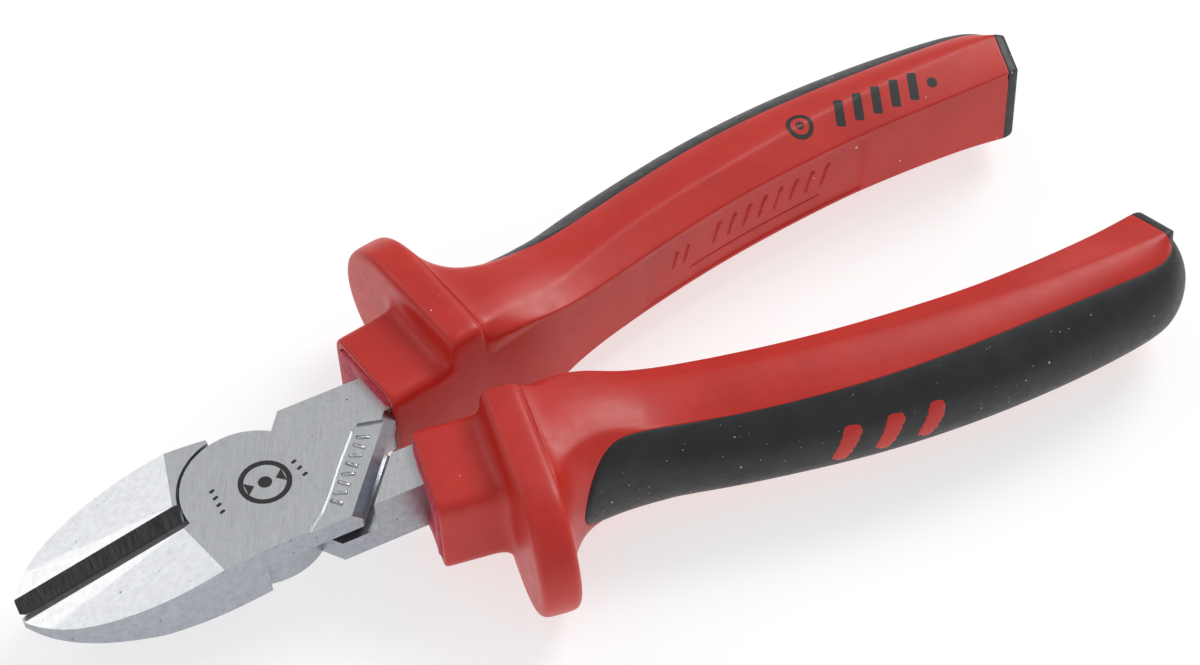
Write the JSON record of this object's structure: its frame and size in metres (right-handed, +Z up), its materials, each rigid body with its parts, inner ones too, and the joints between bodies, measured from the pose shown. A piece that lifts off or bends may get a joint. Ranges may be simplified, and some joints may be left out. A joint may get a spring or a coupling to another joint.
{
  "type": "diagonal cutting pliers",
  "caption": "Diagonal cutting pliers: two forged steel levers on a riveted lap joint, bevelled cutting jaws, and two-layer insulated grips with finger guards.",
  "frame": {"origin": "centre of the footprint of the closed tool, on the surface it lies on", "axes": "+X from the jaws to the handle ends, +Z up out of the face with the cutting bevels, Y across"},
  "size_m": [0.1624, 0.065, 0.0226],
  "materials": {
    "tool_steel": "satin, ground on the joint faces and facets",
    "rivet_steel": "ground flush with the joint",
    "inner_insulation": "matt crimson, cut edge at the collar",
    "red_grip": "semi-gloss moulded",
    "black_overmould": "soft satin"
  },
  "bodies": {
    "lever_a_body": {"lever_a": "tool_steel", "pivot_rivet": "rivet_steel", "sleeve_a": "inner_insulation", "grip_a": "red_grip", "overmould_a": "black_overmould"},
    "lever_b_body": {"lever_b": "tool_steel", "sleeve_b": "inner_insulation", "grip_b": "red_grip", "overmould_b": "black_overmould"}
  },
  "joints": [
    {"name": "pivot", "type": "hinge", "parent": "lever_a_body", "child": "lever_b_body", "pos_m": [-0.04795, 0, 0.0113], "axis": [0, 0, -1], "range_deg": [0, 42]}
  ]
}
